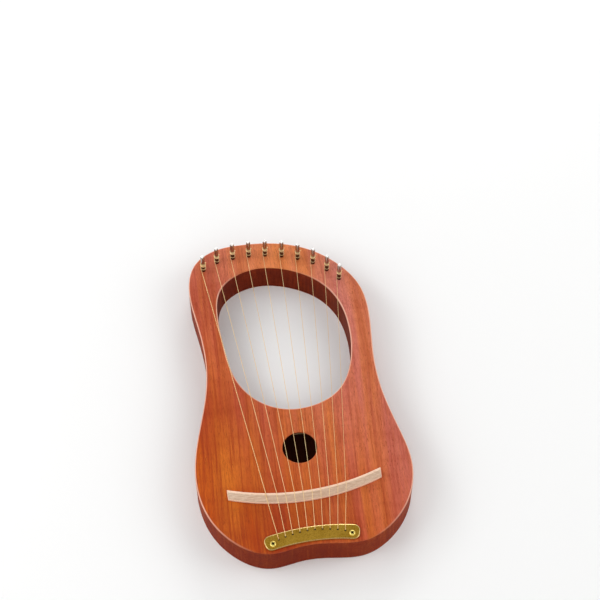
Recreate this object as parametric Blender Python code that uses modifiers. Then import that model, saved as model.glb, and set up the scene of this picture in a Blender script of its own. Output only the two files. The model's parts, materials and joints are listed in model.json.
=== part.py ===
"""Ten-string lyre harp, lying on its back.

X runs across the body towards the treble side, Y along it towards the tuning pins, and Z up out of
the front. The origin is the middle of the footprint, on the surface that the back rests on.
Plans are drawn from the crown, the highest point of the outline, and from the body's centreline.
"""

import math

import bmesh
import bpy
import numpy as np
from mathutils import Matrix, Vector

# Body
BODY_LENGTH = 0.430
BODY_WIDTH = 0.2523
BODY_DEPTH = 0.042
FRONT_THICKNESS = 0.003
BACK_THICKNESS = 0.003
EDGE_RADIUS = 0.0015
RIM_WALL = 0.010
RAIL_WALL = 0.013
TAIL_WALL = 0.028
CHAMBER_RISE = 0.020
GAP = 0.0003

# Hand opening and sound hole
OPENING_LENGTH = 0.2077
OPENING_WIDTH = 0.1587
YOKE_WIDTH = 0.0396
SOUND_HOLE_DIAMETER = 0.040
SOUND_HOLE_LIFT = 0.0045

# Braces glued inside the sound chamber
BRACE_WIDTH = 0.008
BRACE_HEIGHT = 0.010
BRACE_END_HEIGHT = 0.004
BRACE_TAPER = 0.025
UPPER_BRACE_DROP = 0.024
BRIDGE_BRACE_LIFT = 0.006
BACK_BRACE_WIDTH = 0.012
BACK_BRACE_HEIGHT = 0.006

# Bridge
BRIDGE_SPAN = 0.1786
BRIDGE_ARC = 0.254
BRIDGE_TILT = math.radians(2.5)
BRIDGE_WIDTH = 0.009
BRIDGE_HEIGHT = 0.0105
BRIDGE_END_DROP = 0.002
BRIDGE_CREST = 0.0022
BRIDGE_TOE = 0.003
BRIDGE_TO_TAILPIECE = 0.0503
FIRST_NOTCH = 0.0465
FIRST_NOTCH_GAP = 0.0125
NOTCH_GAP = 0.01005
NOTCH_DEPTH = 0.0005
NOTCH_CLEARANCE = 0.00025

# Tailpiece plate and its screws
TAILPIECE_LENGTH = 0.109
TAILPIECE_WIDTH = 0.018
TAILPIECE_THICKNESS = 0.002
TAILPIECE_ARC = 0.240
TAILPIECE_CORNER = 0.007
TAILPIECE_BEVEL = 0.0006
TAILPIECE_TILT = math.radians(1.8)
TAIL_MARGIN = 0.0032
TAIL_HOLE_DIAMETER = 0.0022
TAIL_HOLE_GAP = 0.0086
TAIL_HOLE_ARC = 0.115
TAIL_HOLE_LIFT = 0.0043
SCREW_SPAN = 0.0901
SCREW_DROP = 0.0067
SCREW_HEAD_DIAMETER = 0.0070
SCREW_HEAD_HEIGHT = 0.0022
SCREW_DIAMETER = 0.0032
SCREW_LENGTH = 0.014
SCREW_CLEARANCE = 0.0003

# Ball ends and the channel routed for them under the tailpiece
BALL_DIAMETER = 0.0040
BALL_LENGTH = 0.0030
BALL_BORE = 0.0015
CHANNEL_CLEARANCE = 0.0008

# Tuning pins
PIN_DIAMETER = 0.005
PIN_LENGTH = 0.044
PIN_EXPOSED = 0.031
PIN_HEAD_LENGTH = 0.017
PIN_HEAD_ACROSS = 0.0039
PIN_TIP = 0.0008
PIN_CROWN = 0.0006
PIN_CLEARANCE = 0.0002
PIN_HOLE_SPARE = 0.002
PIN_EYE_HEIGHT = 0.0160
PIN_EYE_DIAMETER = 0.0014

# Strings and their windings
BASS_STRING = 0.0008
THICK_STRING = 0.0006
THIN_STRING = 0.00042
STRING_SEAT = 0.0002
STRING_LEAVES = 0.0045
STRING_WRAP_TURNS = 1.25
TURN_GAP = 0.00046
LOWER_TURNS = 1.25
RISING_TURNS = 0.75
UPPER_TURNS = 2.0
CUT_END = 0.0018
POINTS_PER_TURN = 9

# How finely the curves are faceted
OUTLINE_STEPS = 96
OPENING_STEPS = 64
CHAMBER_STEPS = 60
SOUND_HOLE_STEPS = 32
PIN_STEPS = 16
PIN_HOLE_STEPS = 16
BRIDGE_STEPS = 24

# Outline of the body: x from the centreline and y from the crown, drawn in millimetres
OUTLINE_DRAWING = (
    (-38, 0), (6, -3), (46, -17), (79, -43), (102, -78), (108.5, -118), (105, -185), (108.5, -238),
    (120, -289), (127.7, -336), (118, -377), (93, -409), (60, -426), (20, -425), (-12, -425),
    (-50, -430), (-86, -413.5), (-114.5, -376), (-124.6, -322), (-116, -268), (-103.5, -216),
    (-99.5, -176), (-105, -115), (-110.8, -60), (-99, -22.5), (-72, -4.6),
)

# Outline of the hand opening: x from the centreline and y from its upper edge, in millimetres
OPENING_DRAWING = (
    (-17, 0), (22, -9.2), (54, -30.4), (73.5, -62.4), (80.3, -102.4), (74.5, -152.4), (54, -189.4),
    (20, -206), (-14, -205.6), (-47, -186.4), (-66.5, -154.4), (-75, -110.4), (-78.3, -64.4),
    (-70, -25.4), (-48, -6.9),
)

# Tuning pins from the bass to the treble: x from the centreline and y from the crown, in millimetres
PIN_DRAWING = (
    (-89.8, -34.6), (-71.8, -24.4), (-51.4, -20.4), (-30.9, -19.2), (-10.2, -20.3),
    (10.6, -24.2), (30.2, -30.4), (48.6, -39.6), (64.6, -52.4), (78.1, -67.6),
)
STRING_COUNT = len(PIN_DRAWING)


# Plan curves

def smooth_loop(anchors, count):
    """Points along the closed cubic spline through the anchors, nearly evenly spaced."""
    anchor = np.array(anchors, float)
    size = len(anchor)
    run = np.linalg.norm(np.roll(anchor, -1, axis=0) - anchor, axis=1)
    matrix = np.zeros((size, size))
    change = np.zeros((size, 2))
    for i in range(size):
        after = (i + 1) % size
        matrix[i, i - 1] = run[i - 1]
        matrix[i, i] = 2 * (run[i - 1] + run[i])
        matrix[i, after] = run[i]
        change[i] = 6 * ((anchor[after] - anchor[i]) / run[i] - (anchor[i] - anchor[i - 1]) / run[i - 1])
    bend = np.linalg.solve(matrix, change)
    start = np.concatenate([[0], np.cumsum(run)])
    along = np.linspace(0, start[-1], count, endpoint=False)
    piece = np.searchsorted(start, along, side="right") - 1
    following = (piece + 1) % size
    left = (start[piece + 1] - along)[:, None]
    right = (along - start[piece])[:, None]
    span = run[piece][:, None]
    return (
        bend[piece] * left**3 / (6 * span)
        + bend[following] * right**3 / (6 * span)
        + (anchor[piece] / span - bend[piece] * span / 6) * left
        + (anchor[following] / span - bend[following] * span / 6) * right
    )


def drawing_scale(drawing, width, length):
    """What turns the drawing's millimetres into the real width and length in metres."""
    fine = smooth_loop(drawing, 1200)
    return np.array([width, length]) / (fine.max(axis=0) - fine.min(axis=0))


def fitted(drawing, width, length, count):
    """The drawn loop at its real width and length, with its highest point at y = 0."""
    loop = smooth_loop(drawing, count)
    loop[:, 1] -= smooth_loop(drawing, 1200)[:, 1].max()
    return loop * drawing_scale(drawing, width, length)


def inset(loop, distance):
    """The loop moved inwards by a distance, or outwards by a negative one."""
    ahead = np.roll(loop, -1, axis=0) - np.roll(loop, 1, axis=0)
    ahead /= np.linalg.norm(ahead, axis=1)[:, None]
    following = np.roll(loop, -1, axis=0)
    area = (loop[:, 0] * following[:, 1] - following[:, 0] * loop[:, 1]).sum()
    inwards = np.stack([-ahead[:, 1], ahead[:, 0]], axis=1) * np.sign(area)
    return loop + inwards * distance


def ray_reach(origin, angle, loop):
    """How far a ray from the origin runs before it first meets the loop."""
    direction = np.array([math.cos(angle), math.sin(angle)])
    start = loop - origin
    edge = np.roll(start, -1, axis=0) - start
    turn = direction[0] * edge[:, 1] - direction[1] * edge[:, 0]
    turn = np.where(np.abs(turn) < 1e-12, 1e-12, turn)
    reach = (start[:, 0] * edge[:, 1] - start[:, 1] * edge[:, 0]) / turn
    share = (start[:, 0] * direction[1] - start[:, 1] * direction[0]) / turn
    hits = reach[(share >= 0) & (share <= 1) & (reach > 0)]
    return hits.min() if len(hits) else math.inf


def circle(centre, diameter, count):
    return [
        (
            centre[0] + diameter / 2 * math.cos(2 * math.pi * i / count),
            centre[1] + diameter / 2 * math.sin(2 * math.pi * i / count),
        )
        for i in range(count)
    ]


def bent(along, across, radius):
    """A point at a distance along and across an arc whose ends droop towards the tail."""
    angle = along / radius
    return (radius + across) * math.sin(angle), (radius + across) * math.cos(angle) - radius


def bent_band(length, width, corner, radius, steps):
    """A band with round corners along an arc, as a loop of points about the band's middle."""
    loop = []
    corners = ((1, 1, 0), (-1, 1, 90), (-1, -1, 180), (1, -1, 270))
    for index, (side, edge, start) in enumerate(corners):
        for step in range(7):
            angle = math.radians(start + 15 * step)
            along = side * (length / 2 - corner) + corner * math.cos(angle)
            across = edge * (width / 2 - corner) + corner * math.sin(angle)
            loop.append(bent(along, across, radius))
        last_along = side * (length / 2 - corner)
        next_along = corners[(index + 1) % 4][0] * (length / 2 - corner)
        if next_along != last_along:
            for step in range(1, steps):
                along = last_along + (next_along - last_along) * step / steps
                loop.append(bent(along, edge * width / 2, radius))
    return loop


def placed(loop, centre, tilt):
    """Points of a loop turned by the tilt and moved to a centre on the plan."""
    turn = np.array([[math.cos(tilt), math.sin(tilt)], [-math.sin(tilt), math.cos(tilt)]])
    return np.array(loop) @ turn + centre


# The plan of the body, in world coordinates

OUTLINE = fitted(OUTLINE_DRAWING, BODY_WIDTH, BODY_LENGTH, OUTLINE_STEPS)
FINE_OUTLINE = fitted(OUTLINE_DRAWING, BODY_WIDTH, BODY_LENGTH, 1200)
OPENING = fitted(OPENING_DRAWING, OPENING_WIDTH, OPENING_LENGTH, OPENING_STEPS) - (0, YOKE_WIDTH)
TO_ORIGIN = np.array([-(OUTLINE[:, 0].max() + OUTLINE[:, 0].min()) / 2,
                      -(OUTLINE[:, 1].max() + OUTLINE[:, 1].min()) / 2])
OUTLINE = OUTLINE + TO_ORIGIN
FINE_OUTLINE = FINE_OUTLINE + TO_ORIGIN
OPENING = OPENING + TO_ORIGIN

CENTRELINE = TO_ORIGIN[0]
OPENING_END = OPENING[:, 1].min()
NEAR_CENTRE = np.abs(FINE_OUTLINE[:, 0] - CENTRELINE) < 0.002
TAIL_EDGE = FINE_OUTLINE[NEAR_CENTRE, 1].min()
TAILPIECE_CENTRE = np.array([CENTRELINE, TAIL_EDGE + TAIL_MARGIN + TAILPIECE_WIDTH / 2])
BRIDGE_CENTRE = TAILPIECE_CENTRE + (0, BRIDGE_TO_TAILPIECE)
SOUND_HOLE_CENTRE = np.array(
    [CENTRELINE, (OPENING_END + BRIDGE_CENTRE[1]) / 2 + SOUND_HOLE_LIFT]
)

FRAME_BOTTOM = BACK_THICKNESS + GAP
FRAME_TOP = BODY_DEPTH - FRONT_THICKNESS - GAP
PLATE_BOTTOM = BODY_DEPTH + GAP
PLATE_TOP = PLATE_BOTTOM + TAILPIECE_THICKNESS


def chamber_loop():
    """The sound chamber: as wide as the walls round it allow, seen from its own middle."""
    low = TAIL_EDGE + TAIL_WALL
    high = OPENING_END + CHAMBER_RISE
    middle = np.array([CENTRELINE, (low + OPENING_END) / 2])
    sides = inset(OUTLINE, RIM_WALL)
    rail = inset(OPENING, -RAIL_WALL)
    reaches = []
    for step in range(CHAMBER_STEPS):
        angle = 2 * math.pi * step / CHAMBER_STEPS
        reach = min(ray_reach(middle, angle, sides), ray_reach(middle, angle, rail))
        rise = math.sin(angle)
        if rise > 0.01:
            reach = min(reach, (high - middle[1]) / rise)
        if rise < -0.01:
            reach = min(reach, (low - middle[1]) / rise)
        reaches.append(reach)
    reach = np.array(reaches)
    softened = (np.roll(reach, 1) + 2 * reach + np.roll(reach, -1)) / 4
    reach = np.minimum(reach, softened)
    angle = np.arange(CHAMBER_STEPS) * 2 * math.pi / CHAMBER_STEPS
    return middle + reach[:, None] * np.stack([np.cos(angle), np.sin(angle)], axis=1)


CHAMBER = chamber_loop()


PINS = np.array(PIN_DRAWING) * drawing_scale(OUTLINE_DRAWING, BODY_WIDTH, BODY_LENGTH) + TO_ORIGIN
TAIL_HOLES = placed(
    [
        bent((i - (STRING_COUNT - 1) / 2) * TAIL_HOLE_GAP, 0, TAIL_HOLE_ARC)
        for i in range(STRING_COUNT)
    ] + np.array([0, TAIL_HOLE_LIFT]),
    TAILPIECE_CENTRE,
    TAILPIECE_TILT,
)
SCREWS = placed(
    [(-SCREW_SPAN / 2, -SCREW_DROP), (SCREW_SPAN / 2, -SCREW_DROP)], TAILPIECE_CENTRE, TAILPIECE_TILT
)


def string_diameter(index):
    if index == 0:
        return BASS_STRING
    share = (index - 1) / max(STRING_COUNT - 2, 1)
    return THICK_STRING + (THIN_STRING - THICK_STRING) * share


# Scene, materials and modelling helpers

def clear_scene():
    for item in list(bpy.data.objects):
        bpy.data.objects.remove(item, do_unlink=True)


def new_collection(name):
    collection = bpy.data.collections.new(name)
    bpy.context.scene.collection.children.link(collection)
    return collection


def material(name, colour, roughness, metallic=0.0):
    made = bpy.data.materials.new(name)
    made.use_nodes = True
    shader = made.node_tree.nodes["Principled BSDF"]
    shader.inputs["Base Color"].default_value = (*colour, 1)
    shader.inputs["Roughness"].default_value = roughness
    shader.inputs["Metallic"].default_value = metallic
    made.diffuse_color = (*colour, 1)
    return made


def smoothed(mesh):
    """Curved walls shade smooth, flat faces and edges over 35 degrees stay crisp."""
    mesh.set_sharp_from_angle(angle=math.radians(35))
    for face in mesh.polygons:
        face.use_smooth = abs(face.normal.z) < 0.99


def add_mesh(name, mesh, finish, collection=None, faceted=False):
    if not faceted:
        smoothed(mesh)
    item = bpy.data.objects.new(name, mesh)
    (collection or HARP).objects.link(item)
    if finish and not mesh.materials:
        mesh.materials.append(finish)
    return item


def add_cutter(name, mesh):
    item = add_mesh(name, mesh, None, CUTTERS)
    item.hide_render = True
    item.display_type = "WIRE"
    return item


def closed_mesh(item):
    """The evaluated mesh of a curve or of an object with modifiers, welded, in world space."""
    bpy.context.view_layer.update()
    graph = bpy.context.evaluated_depsgraph_get()
    mesh = bpy.data.meshes.new_from_object(item.evaluated_get(graph))
    mesh.transform(item.matrix_world)
    work = bmesh.new()
    work.from_mesh(mesh)
    bmesh.ops.remove_doubles(work, verts=work.verts, dist=1e-6)
    bmesh.ops.recalc_face_normals(work, faces=work.faces)
    work.to_mesh(mesh)
    work.free()
    bpy.data.objects.remove(item, do_unlink=True)
    return mesh


def filled_curve(loops, height, middle, edge_radius=0.0):
    """A flat curve filled between its loops. The first loop is the outside, and the rest are holes."""
    curve = bpy.data.curves.new("plan", "CURVE")
    curve.dimensions = "2D"
    curve.fill_mode = "BOTH"
    curve.extrude = height / 2 - edge_radius
    curve.bevel_depth = edge_radius
    curve.bevel_resolution = 1
    curve.offset = -edge_radius
    for index, loop in enumerate(loops):
        points = np.array(loop)
        following = np.roll(points, -1, axis=0)
        turn = (points[:, 0] * following[:, 1] - following[:, 0] * points[:, 1]).sum()
        if (turn > 0) == (index == 0):
            points = points[::-1]
        spline = curve.splines.new("POLY")
        spline.points.add(len(points) - 1)
        for point, (x, y) in zip(spline.points, points):
            point.co = (x, y, 0, 1)
        spline.use_cyclic_u = True
    item = bpy.data.objects.new("plan", curve)
    item.location.z = middle
    bpy.context.scene.collection.objects.link(item)
    return item


def flat_solid(loops, bottom, top):
    return closed_mesh(filled_curve(loops, top - bottom, (top + bottom) / 2))


def rounded_plate(loops, bottom, top, edge_radius, rounded_top=True):
    """A plate whose edges are rounded on one face only: half of one that is rounded on both."""
    flat_face = bottom if rounded_top else top
    mesh = closed_mesh(filled_curve(loops, 2 * (top - bottom), flat_face, edge_radius))
    work = bmesh.new()
    work.from_mesh(mesh)
    cut = bmesh.ops.bisect_plane(
        work,
        geom=work.verts[:] + work.edges[:] + work.faces[:],
        plane_co=(0, 0, flat_face),
        plane_no=(0, 0, 1),
        clear_inner=rounded_top,
        clear_outer=not rounded_top,
    )
    rim = [piece for piece in cut["geom_cut"] if isinstance(piece, bmesh.types.BMEdge)]
    bmesh.ops.triangle_fill(work, use_beauty=True, edges=rim)
    bmesh.ops.recalc_face_normals(work, faces=work.faces)
    work.to_mesh(mesh)
    work.free()
    return mesh


def cylinder_mesh(diameter, bottom, top, centre, count):
    mesh = bpy.data.meshes.new("cylinder")
    work = bmesh.new()
    bmesh.ops.create_cone(
        work,
        cap_ends=True,
        segments=count,
        radius1=diameter / 2,
        radius2=diameter / 2,
        depth=top - bottom,
        matrix=Matrix.Translation((centre[0], centre[1], (top + bottom) / 2)),
    )
    work.to_mesh(mesh)
    work.free()
    return mesh


def turned(profile, steps):
    """A solid of revolution about Z. The profile runs from the top of the axis to its bottom."""
    mesh = bpy.data.meshes.new("turned")
    mesh.from_pydata([(r, 0, z) for r, z in profile], [(i, i + 1) for i in range(len(profile) - 1)], [])
    item = bpy.data.objects.new("turned", mesh)
    bpy.context.scene.collection.objects.link(item)
    screw = item.modifiers.new("turn", "SCREW")
    screw.steps = steps
    screw.render_steps = steps
    screw.use_merge_vertices = True
    screw.merge_threshold = 1e-6
    return closed_mesh(item)


def cut_by(item, cutters, operation="DIFFERENCE"):
    """Cuts the item by each cutter and keeps the result as its mesh."""
    for cutter in cutters:
        boolean = item.modifiers.new(cutter.name, "BOOLEAN")
        boolean.operation = operation
        boolean.object = cutter
        boolean.solver = "EXACT"


def tube(name, points, diameter, finish, origin=(0, 0, 0)):
    """A wire along a list of points, as a curve with a round bevel and filled ends."""
    curve = bpy.data.curves.new(name, "CURVE")
    curve.dimensions = "3D"
    curve.bevel_depth = diameter / 2
    curve.bevel_resolution = 1
    curve.use_fill_caps = True
    spline = curve.splines.new("POLY")
    spline.points.add(len(points) - 1)
    for point, place in zip(spline.points, points):
        point.co = (*(Vector(place) - Vector(origin)), 1)
    curve.materials.append(finish)
    item = bpy.data.objects.new(name, curve)
    item.location = origin
    HARP.objects.link(item)
    return item


# Body

def body_cutters():
    """Cutters shared by the plates and the frame: pin holes, screw holes and the ball channel."""
    pins = []
    hole_bottom = BODY_DEPTH - (PIN_LENGTH - PIN_EXPOSED) - PIN_HOLE_SPARE
    for index, place in enumerate(PINS):
        mesh = cylinder_mesh(
            PIN_DIAMETER + 2 * PIN_CLEARANCE, hole_bottom, BODY_DEPTH + 0.01, place, PIN_HOLE_STEPS
        )
        pins.append(add_cutter(f"pin_hole_{index + 1:02d}", mesh))
    screws = []
    tip = PLATE_TOP - SCREW_LENGTH - 0.001
    for side, place in zip(("left", "right"), SCREWS):
        mesh = cylinder_mesh(SCREW_DIAMETER + 2 * SCREW_CLEARANCE, tip, BODY_DEPTH + 0.01, place, 12)
        screws.append(add_cutter(f"screw_hole_{side}", mesh))
    width = BALL_DIAMETER + 2 * CHANNEL_CLEARANCE
    length = (STRING_COUNT - 1) * TAIL_HOLE_GAP + BALL_LENGTH + 4 * CHANNEL_CLEARANCE + width / 2
    band = bent_band(length, width, width / 2 - 0.0002, TAIL_HOLE_ARC, 10)
    band = placed(np.array(band) + (0, TAIL_HOLE_LIFT), TAILPIECE_CENTRE, TAILPIECE_TILT)
    floor = BODY_DEPTH - BALL_DIAMETER - CHANNEL_CLEARANCE
    channel = add_cutter("ball_channel", flat_solid([band], floor, BODY_DEPTH + 0.01))
    return pins, screws, channel


def rim_frame(cutters):
    item = add_mesh("rim_frame", flat_solid([OUTLINE, OPENING, CHAMBER], FRAME_BOTTOM, FRAME_TOP), MAHOGANY)
    cut_by(item, cutters)


def soundboard(cutters):
    sound_hole = circle(SOUND_HOLE_CENTRE, SOUND_HOLE_DIAMETER, SOUND_HOLE_STEPS)
    bottom = BODY_DEPTH - FRONT_THICKNESS
    mesh = rounded_plate([OUTLINE, OPENING, sound_hole], bottom, BODY_DEPTH, EDGE_RADIUS)
    item = add_mesh("soundboard", mesh, MAHOGANY)
    cut_by(item, cutters)


def back_plate():
    mesh = rounded_plate([OUTLINE, OPENING], 0, BACK_THICKNESS, EDGE_RADIUS, rounded_top=False)
    add_mesh("back_plate", mesh, MAHOGANY)


def chamber_span(low, high):
    """The left and right end of the widest straight bar that fits the chamber between two heights."""
    lefts, rights = [], []
    for height in np.linspace(low, high, 5):
        start = np.array([CENTRELINE, height])
        rights.append(CENTRELINE + ray_reach(start, 0, CHAMBER))
        lefts.append(CENTRELINE - ray_reach(start, math.pi, CHAMBER))
    return max(lefts) + GAP, min(rights) - GAP


def brace(name, middle, width, height, glued, upwards):
    """A bar across the chamber, tapered towards its ends on the side away from its plate."""
    left, right = chamber_span(middle - width / 2, middle + width / 2)
    away = 1 if upwards else -1
    end = min(BRACE_END_HEIGHT, height)
    side = [
        (left, glued),
        (right, glued),
        (right, glued + away * end),
        (right - BRACE_TAPER, glued + away * height),
        (left + BRACE_TAPER, glued + away * height),
        (left, glued + away * end),
    ]
    mesh = flat_solid([side], -width / 2, width / 2)
    mesh.transform(Matrix.Translation((0, middle, 0)) @ Matrix.Rotation(math.pi / 2, 4, "X"))
    add_mesh(name, mesh, SPRUCE)


def braces():
    """Two under the front plate, above the sound hole and near the bridge, and one on the back."""
    upper = OPENING_END - UPPER_BRACE_DROP
    under_bridge = BRIDGE_CENTRE[1] + BRIDGE_BRACE_LIFT
    across_back = (upper + under_bridge) / 2
    brace("upper_brace", upper, BRACE_WIDTH, BRACE_HEIGHT, FRAME_TOP, upwards=False)
    brace("bridge_brace", under_bridge, BRACE_WIDTH, BRACE_HEIGHT, FRAME_TOP, upwards=False)
    brace("back_brace", across_back, BACK_BRACE_WIDTH, BACK_BRACE_HEIGHT, FRAME_BOTTOM, upwards=True)


# Bridge

def bridge_height(along):
    """Height of the crest, which falls a little from the middle towards each end."""
    return BRIDGE_HEIGHT - BRIDGE_END_DROP * (2 * along / BRIDGE_SPAN) ** 2


def bridge_line(along, across):
    """Plan point at a distance along the bridge's curve and across it, towards the tail."""
    angle = along / BRIDGE_ARC
    x = (BRIDGE_ARC + across) * math.sin(angle)
    y = BRIDGE_ARC - (BRIDGE_ARC + across) * math.cos(angle)
    return placed([(x, y)], BRIDGE_CENTRE, BRIDGE_TILT)[0]


def notch(index):
    """Distance of a string's notch along the bridge from its middle."""
    if index == 0:
        return -FIRST_NOTCH
    return -FIRST_NOTCH + FIRST_NOTCH_GAP + (index - 1) * NOTCH_GAP


def notch_floor(index):
    return BODY_DEPTH + GAP + bridge_height(notch(index)) - NOTCH_DEPTH


def notch_cutters():
    """A shallow slot across the crest for each string."""
    cutters = []
    for index in range(STRING_COUNT):
        half = string_diameter(index) / 2 + NOTCH_CLEARANCE
        low, high = notch(index) - half, notch(index) + half
        corners = ((low, -0.001), (high, -0.001), (high, BRIDGE_WIDTH), (low, BRIDGE_WIDTH))
        plan = [bridge_line(along, across) for along, across in corners]
        floor = notch_floor(index)
        cutters.append(add_cutter(f"notch_{index + 1:02d}", flat_solid([plan], floor, floor + 0.002)))
    return cutters


def bridge_end(across):
    """Distance along the curve of the end, which is sawn square to the harp and not to the curve."""
    return BRIDGE_ARC * math.asin(BRIDGE_SPAN / 2 / (BRIDGE_ARC + across))


def bridge():
    """A bar bent like a smile in plan: upright towards the pins, sloping towards the tailpiece."""
    ease = 0.0005
    sections = []
    for step in range(BRIDGE_STEPS + 1):
        share = 2 * step / BRIDGE_STEPS - 1
        height = bridge_height(share * bridge_end(0))
        sections.append([
            (*bridge_line(share * bridge_end(across), across), BODY_DEPTH + GAP + rise)
            for across, rise in (
                (0, 0),
                (0, height - ease),
                (ease, height),
                (BRIDGE_CREST, height),
                (BRIDGE_WIDTH, BRIDGE_TOE),
                (BRIDGE_WIDTH, 0),
            )
        ])
    work = bmesh.new()
    rows = [[work.verts.new(point) for point in section] for section in sections]
    count = len(rows[0])
    for first, second in zip(rows, rows[1:]):
        for i in range(count):
            after = (i + 1) % count
            work.faces.new((first[i], first[after], second[after], second[i]))
    work.faces.new(rows[0])
    work.faces.new(rows[-1])
    bmesh.ops.recalc_face_normals(work, faces=work.faces)
    mesh = bpy.data.meshes.new("bridge")
    work.to_mesh(mesh)
    work.free()
    item = add_mesh("bridge", mesh, MAPLE, faceted=True)
    cut_by(item, notch_cutters())


# Tailpiece

def tailpiece():
    band = bent_band(TAILPIECE_LENGTH, TAILPIECE_WIDTH, TAILPIECE_CORNER, TAILPIECE_ARC, 12)
    band = placed(band, TAILPIECE_CENTRE, TAILPIECE_TILT)
    mesh = rounded_plate([band], PLATE_BOTTOM, PLATE_TOP, TAILPIECE_BEVEL)
    item = add_mesh("tailpiece", mesh, BRASS)
    cutters = []
    for index, place in enumerate(TAIL_HOLES):
        mesh = cylinder_mesh(TAIL_HOLE_DIAMETER, PLATE_BOTTOM - 0.001, PLATE_TOP + 0.001, place, 10)
        cutters.append(add_cutter(f"string_hole_{index + 1:02d}", mesh))
    for side, place in zip(("left", "right"), SCREWS):
        across = SCREW_DIAMETER + 2 * SCREW_CLEARANCE
        mesh = cylinder_mesh(across, PLATE_BOTTOM - 0.001, PLATE_TOP + 0.001, place, 12)
        cutters.append(add_cutter(f"plate_hole_{side}", mesh))
    cut_by(item, cutters)


def tailpiece_screws():
    """Round-headed wood screws with a cross recess."""
    seat = PLATE_TOP + GAP
    head = SCREW_HEAD_DIAMETER / 2
    shank = SCREW_DIAMETER / 2
    profile = [(0, seat + SCREW_HEAD_HEIGHT)]
    for step in range(1, 5):
        angle = math.radians(90 - 20 * step)
        profile.append((head * math.cos(angle), seat + SCREW_HEAD_HEIGHT * math.sin(angle)))
    profile += [
        (head, seat),
        (shank, seat),
        (shank, seat - SCREW_LENGTH + 2 * SCREW_DIAMETER),
        (0.0003, seat - SCREW_LENGTH),
        (0, seat - SCREW_LENGTH),
    ]
    recess = SCREW_HEAD_DIAMETER * 0.22
    for side, place in zip(("left", "right"), SCREWS):
        mesh = turned(profile, 20)
        mesh.transform(Matrix.Translation((*place, 0)))
        item = add_mesh(f"tailpiece_screw_{side}", mesh, BRIGHT_BRASS)
        for turn in (0, math.pi / 2):
            bar = bpy.data.meshes.new("recess")
            work = bmesh.new()
            bmesh.ops.create_cube(work, size=1)
            work.to_mesh(bar)
            work.free()
            bar.transform(
                Matrix.Translation((*place, seat + SCREW_HEAD_HEIGHT))
                @ Matrix.Rotation(turn + 0.5, 4, "Z")
                @ Matrix.Diagonal((2 * recess, 0.0009, SCREW_HEAD_HEIGHT * 1.2, 1))
            )
            cutter = add_cutter(f"recess_{side}_{int(turn)}", bar)
            cut_by(item, [cutter])


def ball_ends():
    """Small brass barrels that stop the strings under the tailpiece, lying across the strings."""
    outer = BALL_DIAMETER / 2
    inner = BALL_BORE / 2
    waist = outer * 0.8
    half = BALL_LENGTH / 2
    ring = [(outer, half), (waist, 0), (outer, -half), (inner, -half), (inner, half), (outer, half)]
    height = PLATE_BOTTOM - GAP - outer
    for index, place in enumerate(TAIL_HOLES):
        mesh = turned(ring, 12)
        mesh.transform(
            Matrix.Translation((*place, height))
            @ Matrix.Rotation(TAILPIECE_TILT, 4, "Z")
            @ Matrix.Rotation(math.pi / 2, 4, "Y")
        )
        add_mesh(f"ball_end_{index + 1:02d}", mesh, BRASS)


# Tuning pins

def pin_mesh():
    """A zither pin about its own axis, z = 0 at the face: round shank, four tapered flats, an eye."""
    radius = PIN_DIAMETER / 2
    top = PIN_EXPOSED
    bottom = PIN_EXPOSED - PIN_LENGTH
    profile = [
        (0, top),
        (PIN_HEAD_ACROSS / 2 - PIN_CROWN / 2, top - PIN_CROWN / 4),
        (radius, top - PIN_CROWN),
        (radius, bottom + PIN_TIP),
        (radius - PIN_TIP, bottom),
        (0, bottom),
    ]
    mesh = turned(profile, PIN_STEPS)
    work = bmesh.new()
    work.from_mesh(mesh)
    lean = math.atan2(radius - PIN_HEAD_ACROSS / 2, PIN_HEAD_LENGTH)
    for quarter in range(4):
        turn = Matrix.Rotation(math.pi / 2 * quarter + math.pi / 4, 3, "Z")
        cut = bmesh.ops.bisect_plane(
            work,
            geom=work.verts[:] + work.edges[:] + work.faces[:],
            plane_co=turn @ Vector((PIN_HEAD_ACROSS / 2, 0, top)),
            plane_no=turn @ Vector((math.cos(lean), 0, math.sin(lean))),
            clear_outer=True,
        )
        rim = [piece for piece in cut["geom_cut"] if isinstance(piece, bmesh.types.BMEdge)]
        bmesh.ops.contextual_create(work, geom=rim)
    bmesh.ops.remove_doubles(work, verts=work.verts, dist=1e-6)
    bmesh.ops.recalc_face_normals(work, faces=work.faces)
    work.to_mesh(mesh)
    work.free()
    item = add_mesh("pin_blank", mesh, None)
    eye = cylinder_mesh(PIN_EYE_DIAMETER, -PIN_DIAMETER, PIN_DIAMETER, (0, 0), 8)
    eye.transform(Matrix.Translation((0, 0, PIN_EYE_HEIGHT)) @ Matrix.Rotation(math.pi / 2, 4, "Y"))
    cutter = add_cutter("pin_eye", eye)
    cut_by(item, [cutter])
    return closed_mesh(item)


def tuning_pins():
    shared = pin_mesh()
    shared.materials.append(NICKEL)
    for index, place in enumerate(PINS):
        item = add_mesh(f"tuning_pin_{index + 1:02d}", shared, NICKEL)
        item.location = (*place, BODY_DEPTH)


# Strings

def wrap_radius(index):
    return PIN_DIAMETER / 2 + STRING_SEAT + string_diameter(index) / 2


def wrap_start(index):
    """Angle on the pin at which the string, coming from the bridge, first touches its left side."""
    pin = np.array(PINS[index])
    towards = bridge_line(notch(index), 0) - pin
    distance = np.linalg.norm(towards)
    bearing = math.atan2(towards[1], towards[0])
    return bearing - math.acos(wrap_radius(index) / distance)


def around_pin(index, turns, height):
    """Point on the wrap after a number of clockwise turns, at a height over the face."""
    angle = wrap_start(index) - 2 * math.pi * turns
    x, y = PINS[index]
    radius = wrap_radius(index)
    return x + radius * math.cos(angle), y + radius * math.sin(angle), BODY_DEPTH + height


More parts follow.
